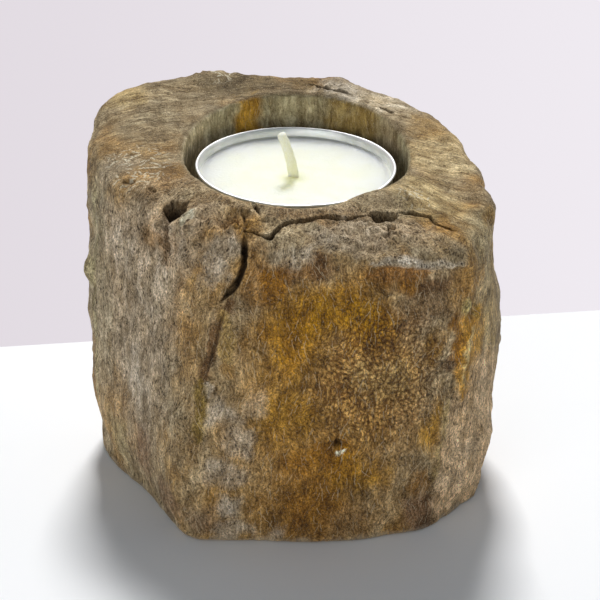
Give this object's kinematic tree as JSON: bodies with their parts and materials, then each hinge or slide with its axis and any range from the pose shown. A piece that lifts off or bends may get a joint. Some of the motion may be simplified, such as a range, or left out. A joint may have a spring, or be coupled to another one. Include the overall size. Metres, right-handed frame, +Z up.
{
  "type": "tealight holder",
  "caption": "Rough block of petrified wood with a sloping top and a round drilled well that holds a tealight candle in its own aluminium cup.",
  "frame": {"origin": "on the surface it stands on, under the middle of the block", "axes": "+Z up, -Y towards the front, where the top is lowest; the well's axis is parallel to Z"},
  "size_m": [0.0824, 0.066, 0.0723],
  "materials": {
    "petrified_wood": "weathered silicified wood, rough, with worn pores and rusty mineral staining",
    "cup_aluminium": "thin drawn aluminium, satin",
    "candle_wax": "ivory paraffin wax, smooth and slightly translucent",
    "wick_cotton": "braided cotton dipped in wax",
    "sustainer_steel": "tinned sheet steel"
  },
  "bodies": {
    "block": {"stone_block": "petrified_wood"},
    "cup": {"tealight_cup": "cup_aluminium"},
    "candle": {"wax": "candle_wax", "wick": "wick_cotton", "wick_sustainer": "sustainer_steel"}
  },
  "joints": [
    {"name": "tealight_lift", "type": "slide", "parent": "block", "child": "cup", "axis": [0, 0, 1], "range_m": [0, 0.04]},
    {"name": "candle_lift", "type": "slide", "parent": "cup", "child": "candle", "axis": [0, 0, 1], "range_m": [0, 0.02]}
  ]
}
